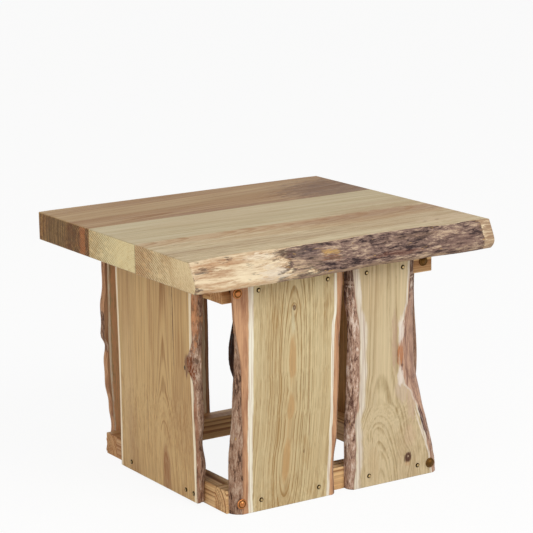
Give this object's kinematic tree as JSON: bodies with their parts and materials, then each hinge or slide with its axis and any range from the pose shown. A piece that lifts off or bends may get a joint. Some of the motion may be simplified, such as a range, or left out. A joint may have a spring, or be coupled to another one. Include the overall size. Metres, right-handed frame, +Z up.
{
  "type": "rustic side table",
  "caption": "Low square side table with a thick live-edge plank top on a base of square rails and live-edge slab boards, bolted and screwed together.",
  "frame": {"origin": "on the floor under the middle of the top", "axes": "+Z up; -Y out of the live front edge of the top; +X to the right seen from the front"},
  "size_m": [0.61, 0.568, 0.457],
  "materials": {
    "top_wood": "clear satin",
    "board_wood": "clear satin",
    "rail_wood": "clear satin",
    "copper_plated_steel": "aged copper plating",
    "zinc_plated_steel": "dull zinc plating",
    "bronzed_steel": "dark bronze"
  },
  "bodies": {
    "root": {"top_plank_front": "top_wood", "top_plank_middle": "top_wood", "top_plank_back": "top_wood", "front_board_left": "board_wood", "front_board_right": "board_wood", "left_board": "board_wood", "right_board": "board_wood", "back_board_left": "board_wood", "back_board_right": "board_wood", "upper_rail_front": "rail_wood", "upper_rail_back": "rail_wood", "upper_rail_left": "rail_wood", "upper_rail_right": "rail_wood", "lower_rail_front": "rail_wood", "lower_rail_back": "rail_wood", "lower_rail_left": "rail_wood", "lower_rail_right": "rail_wood", "front_carriage_bolts": "copper_plated_steel", "back_carriage_bolts": "copper_plated_steel", "front_cross_dowels": "zinc_plated_steel", "back_cross_dowels": "zinc_plated_steel", "front_board_screws": "bronzed_steel", "right_board_screws": "bronzed_steel", "back_board_screws": "bronzed_steel", "left_board_screws": "bronzed_steel", "top_screws": "bronzed_steel"}
  },
  "joints": []
}
